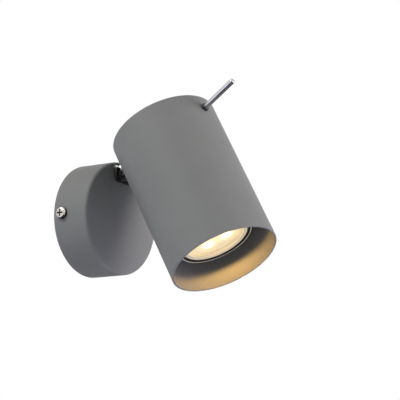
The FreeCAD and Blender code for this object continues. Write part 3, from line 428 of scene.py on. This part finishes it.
def bright_screw():
    # Nickel-plated steel with a little wear, and painted shade in the recess and under the head's edge
    material, tree, shader = surface("bright_screw", metallic=1.0)
    shade(tree, shader, noise(tree, size=0.0016, detail=5.0), NICKEL_SHADES, start=WEAR_FROM)
    sideways = add(tree, "ShaderNodeMath", operation="ABSOLUTE")
    tree.links.new(coordinate(tree, "X"), sideways.inputs[0])
    screw_shade = fall(tree, sideways.outputs["Value"], SCREW_SHADE_UP_TO, FINE_EDGE)
    # Painted shade in the screw's recess and under the edge of its head
    paint_over(tree, shader, screw_shade, SCREW_PAINTED_SHADE)
    roughness = uneven(tree, noise(tree, size=0.001), low=0.16, high=0.34)
    tree.links.new(roughness, shader.inputs["Roughness"])
    bump(tree, shader, noise(tree, size=0.0005, detail=4.0), depth=0.00003, strength=0.4)
    return material


def zinc_steel():
    # Zinc-plated sheet: cool grey with a faint mottle and rolling lines
    material, tree, shader = surface("zinc_steel", metallic=1.0)
    shade(tree, shader, noise(tree, size=0.004, detail=4.0), ZINC_SHADES)
    roughness = uneven(tree, noise(tree, size=0.003), low=0.34, high=0.5)
    tree.links.new(roughness, shader.inputs["Roughness"])
    lines = noise(tree, size=0.0012, detail=2.0, stretch=ROLLED)
    bump(tree, shader, lines, depth=0.00003, strength=0.3)
    return material


def chrome():
    # Polished chrome with faint polishing marks, and painted shade on the hinge screws, below the pin
    material, tree, shader = surface("chrome", metallic=1.0)
    shade(tree, shader, noise(tree, size=0.006), CHROME_SHADES)
    low = fall(tree, coordinate(tree, "Z"), HINGE_SHADE_BELOW, HINGE_SHADE_EDGE)
    # Painted shade on the hinge screws, which sit in the gap between base and head
    paint_over(tree, shader, low, HINGE_PAINTED_SHADE)
    roughness = uneven(tree, noise(tree, size=0.002), low=0.22, high=0.3)
    tree.links.new(roughness, shader.inputs["Roughness"])
    bump(tree, shader, noise(tree, size=0.001, detail=2.0), depth=0.00001, strength=0.2)
    return material


def dark_chrome():
    # Black chrome: dark, satin and a little cloudy, with a painted highlight and a smoother finish on
    # the bevel along the top
    material, tree, shader = surface("dark_chrome", metallic=0.6)
    shade(tree, shader, noise(tree, size=0.003, detail=4.0), BLACK_CHROME_SHADES)
    bevel_highlight = rise(tree, coordinate(tree, "Z"), HIGHLIGHT_ABOVE, SHARP_EDGE)
    # Painted highlight along the top bevel, where the swivel mirrors the bright surroundings
    paint_over(tree, shader, bevel_highlight, BEVEL_PAINTED_HIGHLIGHT)
    satin = uneven(tree, noise(tree, size=0.002), low=0.34, high=0.46)
    roughness = product(tree, satin, blend(tree, bevel_highlight, 1.0, POLISHED_SHARE))
    tree.links.new(roughness, shader.inputs["Roughness"])
    return material


def black_metal():
    # Blackened steel with faint stains
    material, tree, shader = surface("black_metal", roughness=0.35, metallic=0.6)
    shade(tree, shader, noise(tree, size=0.003, detail=4.0), BLACK_METAL_SHADES)
    bump(tree, shader, noise(tree, size=0.0006), depth=0.00003, strength=0.3)
    return material


def brass():
    # Plain brass, tarnished in patches
    material, tree, shader = surface("brass", roughness=0.3, metallic=1.0)
    shade(tree, shader, noise(tree, size=0.003, detail=4.0), BRASS_SHADES)
    bump(tree, shader, noise(tree, size=0.0008), depth=0.00002, strength=0.3)
    return material


def rubber():
    # Black rubber with a pale bloom
    material, tree, shader = surface("rubber", roughness=0.75, specular=0.3)
    shade(tree, shader, noise(tree, size=0.004, detail=4.0), RUBBER_SHADES)
    bump(tree, shader, noise(tree, size=0.0006), depth=0.00005, strength=0.4)
    return material


def nylon():
    # Black moulded nylon
    material, tree, shader = surface("nylon")
    shade(tree, shader, noise(tree, size=0.003), NYLON_SHADES)
    bump(tree, shader, noise(tree, size=0.0006), depth=0.00003, strength=0.3)
    return material


def terminal_plastic():
    # Natural polyamide: cream, slightly translucent
    material, tree, shader = surface("terminal_plastic", roughness=0.45)
    shade(tree, shader, noise(tree, size=0.005), TERMINAL_SHADES)
    shader.inputs["Subsurface Weight"].default_value = TRANSLUCENCE
    shader.inputs["Subsurface Radius"].default_value = SCATTER
    shader.inputs["Subsurface Scale"].default_value = 1.0
    bump(tree, shader, noise(tree, size=0.0008), depth=0.00003, strength=0.3)
    return material


def holder_ceramic():
    # Unglazed steatite: off-white and fine-grained
    material, tree, shader = surface("holder_ceramic", roughness=0.7, specular=0.4)
    shade(tree, shader, noise(tree, size=0.0015, detail=5.0, rough=0.7), CERAMIC_SHADES)
    bump(tree, shader, noise(tree, size=0.0005, detail=4.0), depth=0.00005, strength=0.4)
    return material


def lamp_plastic():
    # Bright silvered finish of the lamp's body and rim, with painted shade in the groove between rim and
    # glass, and a painted glow on the rim's top
    material, tree, shader = surface("lamp_plastic", roughness=0.3, metallic=0.3)
    shade(tree, shader, noise(tree, size=0.004), SILVER_SHADES)
    away = away_from(tree, LAMP_FRONT)
    radius = off_axis(tree, away)
    outside_glass = rise(tree, radius, GLASS_RADIUS, SHARP_EDGE)
    inside_rim = fall(tree, radius, BRIGHT_RIM - SHARP_EDGE / 2.0, SHARP_EDGE)
    front = rise(tree, along_axis(tree, away), -RIM_DEPTH, FINE_EDGE)
    groove_shade = product(tree, product(tree, outside_glass, inside_rim), front)
    # Painted shade in the groove between the glass and the rim's top
    paint_over(tree, shader, groove_shade, GROOVE_PAINTED_SHADE)
    rim = rise(tree, radius, BRIGHT_RIM - SHARP_EDGE / 2.0, SHARP_EDGE)
    lit = adjust(tree, "MULTIPLY", product(tree, rim, front), RIM_GLOW_STRENGTH)
    shader.inputs["Emission Color"].default_value = (*RIM_GLOW, 1.0)
    tree.links.new(lit, shader.inputs["Emission Strength"])
    bump(tree, shader, noise(tree, size=0.0008), depth=0.00002, strength=0.3)
    return material


def lamp_glass():
    # Clear in the middle, where it lets the light straight through, and milky and lit near its edge
    material, tree, shader = surface("lamp_glass", roughness=0.08)
    shade(tree, shader, noise(tree, size=0.01, detail=2.0), GLASS_SHADES)
    away = away_from(tree, LAMP_FRONT)
    radius = off_axis(tree, away)
    front = rise(tree, along_axis(tree, away), -PRINT_DEPTH - SHARP_EDGE, SHARP_EDGE)
    printed = product(tree, rise(tree, radius, MILKY_RADIUS, SHARP_EDGE), front)
    paint_over(tree, shader, printed, PRINT_BLACK)
    milky = rise(tree, radius, CLEAR_RADIUS, MILKY_EDGE)
    tree.links.new(blend(tree, milky, CLEAR_ALPHA, MILKY_ALPHA), shader.inputs["Alpha"])
    tree.links.new(between(tree, front, BACK_GLOW, FRONT_GLOW), shader.inputs["Emission Color"])
    unprinted = blend(tree, printed, 1.0, 0.0)
    lit = product(tree, blend(tree, front, BACK_GLOW_STRENGTH, FRONT_GLOW_STRENGTH), unprinted)
    tree.links.new(product(tree, milky, lit), shader.inputs["Emission Strength"])
    bump(tree, shader, noise(tree, size=0.004, detail=2.0), depth=0.00002, strength=0.2)
    return material


def led_places():
    places = []
    for i in range(LED_COUNT):
        turn = math.radians(LED_FIRST_ANGLE + 360.0 / LED_COUNT * i)
        spoke = math.cos(turn) * HEAD_SIDE + math.sin(turn) * HEAD_OUTWARD
        places.append(LAMP_FRONT + LED_CIRCLE * spoke)
    return places


def optic():
    # Diffusing plate, lit from behind: a warm glow with a hot spot over each light source
    material, tree, shader = surface("optic", roughness=0.4, specular=0.15)
    glow = []
    for centre in led_places():
        spot = adjust(tree, "POWER", closeness(tree, centre, HOT_SPOT_RADIUS), HOT_SPOT_FALLOFF)
        glow.append(adjust(tree, "MULTIPLY", spot, HOT_SPOT_STRENGTH))
        glow.append(adjust(tree, "MULTIPLY", closeness(tree, centre, HALO_RADIUS), HALO_STRENGTH))
    glow.append(uneven(tree, noise(tree, size=0.002, detail=2.0), PLATE_GLOW_LOW, PLATE_GLOW_HIGH))
    shader.inputs["Base Color"].default_value = (*PLATE_COLOUR, 1.0)
    shader.inputs["Emission Color"].default_value = (*PLATE_GLOW, 1.0)
    tree.links.new(total(tree, glow), shader.inputs["Emission Strength"])
    return material


def board():
    # White circuit board
    material, tree, shader = surface("board", roughness=0.4)
    shade(tree, shader, noise(tree, size=0.003), BOARD_SHADES)
    return material


def led():
    # Yellow phosphor, lit
    material, tree, shader = surface("led")
    shade(tree, shader, noise(tree, size=0.001), LED_SHADES)
    shader.inputs["Emission Color"].default_value = (*WARM_LIGHT, 1.0)
    shader.inputs["Emission Strength"].default_value = LED_STRENGTH
    return material


MATERIALS = {
    "grey_paint": grey_paint,
    "bright_screw": bright_screw,
    "zinc_steel": zinc_steel,
    "chrome": chrome,
    "dark_chrome": dark_chrome,
    "black_metal": black_metal,
    "brass": brass,
    "rubber": rubber,
    "nylon": nylon,
    "terminal_plastic": terminal_plastic,
    "holder_ceramic": holder_ceramic,
    "lamp_plastic": lamp_plastic,
    "lamp_glass": lamp_glass,
    "optic": optic,
    "board": board,
    "led": led,
}


def finish_nodes():
    # Every CAD node takes the procedural material of its slot in the record
    made = {slot: make() for slot, make in MATERIALS.items()}
    for part in frame["record"]["subparts"]:
        node = frame["nodes"][part["node"]]
        node.data.materials.clear()
        node.data.materials.append(made[part["material_slot"]])


def camera():
    data = bpy.data.cameras.new("camera")
    data.sensor_width = SENSOR_WIDTH_MM
    data.lens = FOCAL_PIXELS / FRAME_PIXELS * SENSOR_WIDTH_MM
    data.clip_start = CAMERA_NEAR
    data.clip_end = CAMERA_FAR
    thing = bpy.data.objects.new("camera", data)
    right = Vector(CAMERA_RIGHT).normalized()
    back = right.cross(Vector(CAMERA_UP)).normalized()
    up = back.cross(right)
    turn = Matrix((right, up, back)).transposed().to_4x4()
    thing.matrix_world = Matrix.Translation(Vector(CAMERA_PLACE)) @ turn
    bpy.context.scene.collection.objects.link(thing)
    bpy.context.scene.camera = thing


def area_light(name, start, aim, watts, colour):
    data = bpy.data.lights.new(name, "AREA")
    data.shape = "DISK"
    data.size = STUDIO_LIGHT_SIZE
    data.energy = watts
    data.color = colour
    thing = bpy.data.objects.new(name, data)
    thing.location = start
    thing.rotation_euler = (aim - start).to_track_quat("-Z", "Y").to_euler()
    bpy.context.scene.collection.objects.link(thing)


def studio():
    # Each light stands off from the middle of the wall light and is aimed at it
    middle = (cad_low + cad_high) / 2.0
    toward_right = Vector(CAMERA_RIGHT)
    toward_camera = (Vector(CAMERA_PLACE) - middle).normalized()
    for name, right, toward, up, watts, colour in STUDIO_LIGHTS:
        start = middle + right * toward_right + toward * toward_camera + Vector((0.0, 0.0, up))
        area_light(name, start, middle, watts, colour)


def lamp_light():
    # The beam of the lamp itself, which starts at its glass and reaches the tube near the mouth
    data = bpy.data.lights.new("lamp_beam", "SPOT")
    data.energy = BEAM_WATTS
    data.color = WARM_LIGHT
    data.spot_size = math.radians(BEAM_ANGLE)
    data.spot_blend = BEAM_SOFT_EDGE
    data.shadow_soft_size = BEAM_SOURCE_RADIUS
    light = bpy.data.objects.new("lamp_beam", data)
    light.location = BEAM_START
    light.rotation_euler = HEAD_AXIS.to_track_quat("-Z", "Y").to_euler()
    light.visible_camera = False
    bpy.context.scene.collection.objects.link(light)
    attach(light, "lamp")


def world():
    # Even light from all round; seen directly, mirrored or through glass, the background is white
    made = bpy.data.worlds.new("studio")
    bpy.context.scene.world = made
    made.use_nodes = True
    tree = made.node_tree
    tree.nodes.clear()
    paths = add(tree, "ShaderNodeLightPath").outputs
    seen = combine(tree, "MAXIMUM", paths["Is Camera Ray"], paths["Is Transmission Ray"])
    seen_or_mirrored = combine(tree, "MAXIMUM", seen, paths["Is Glossy Ray"])
    even = coloured(tree, "ShaderNodeBackground", EVEN_LIGHT)
    even.inputs["Strength"].default_value = EVEN_LIGHT_STRENGTH
    white = coloured(tree, "ShaderNodeBackground", WHITE)
    light = mixed(tree, seen_or_mirrored, even.outputs["Background"], white.outputs["Background"])
    output = add(tree, "ShaderNodeOutputWorld")
    tree.links.new(light, output.inputs["Surface"])


def flat_square(name, half, level, material):
    corners = [(half * x, half * y, 0.0) for x, y in ((-1, -1), (1, -1), (1, 1), (-1, 1))]
    mesh = bpy.data.meshes.new(name)
    mesh.from_pydata(corners, [], [(0, 1, 2, 3)])
    mesh.materials.append(material)
    thing = bpy.data.objects.new(name, mesh)
    thing.location = (0.0, 0.0, level)
    bpy.context.scene.collection.objects.link(thing)
    return thing


def floor():
    # Plain, pale and well below the light; it fades to white and hides nothing from a camera below it
    material, tree = new_material("floor")
    matt = coloured(tree, "ShaderNodeBsdfDiffuse", FLOOR_COLOUR).outputs["BSDF"]
    glow = coloured(tree, "ShaderNodeEmission", WHITE).outputs["Emission"]
    distance = vector_math(tree, "LENGTH", place(tree)).outputs["Value"]
    fade = spread(tree, distance, FLOOR_PLAIN, FLOOR_WHITE, 0.0, 1.0)
    seen = add(tree, "ShaderNodeLightPath").outputs["Is Camera Ray"]
    whiter = combine(tree, "MAXIMUM", fade, adjust(tree, "MULTIPLY", seen, FLOOR_GLOW))
    pale = mixed(tree, whiter, matt, glow)
    below = add(tree, "ShaderNodeNewGeometry").outputs["Backfacing"]
    clear = add(tree, "ShaderNodeBsdfTransparent").outputs["BSDF"]
    output = add(tree, "ShaderNodeOutputMaterial")
    tree.links.new(mixed(tree, product(tree, below, seen), pale, clear), output.inputs["Surface"])
    flat_square("floor", FLOOR_HALF, FLOOR_LEVEL, material)


def dark_card():
    # A dark card under the light that only polished metal mirrors, as in a photographer's studio
    material, tree = new_material("dark_card")
    matt = coloured(tree, "ShaderNodeBsdfDiffuse", DARK_CARD_COLOUR).outputs["BSDF"]
    output = add(tree, "ShaderNodeOutputMaterial")
    tree.links.new(matt, output.inputs["Surface"])
    card = flat_square("dark_card", DARK_CARD_HALF, DARK_CARD_LEVEL, material)
    card.visible_camera = False
    card.visible_diffuse = False
    card.visible_shadow = False
    card.visible_transmission = False


finish_nodes()
camera()
world()
floor()
dark_card()
studio()
lamp_light()

bpy.context.scene.view_settings.view_transform = "Standard"
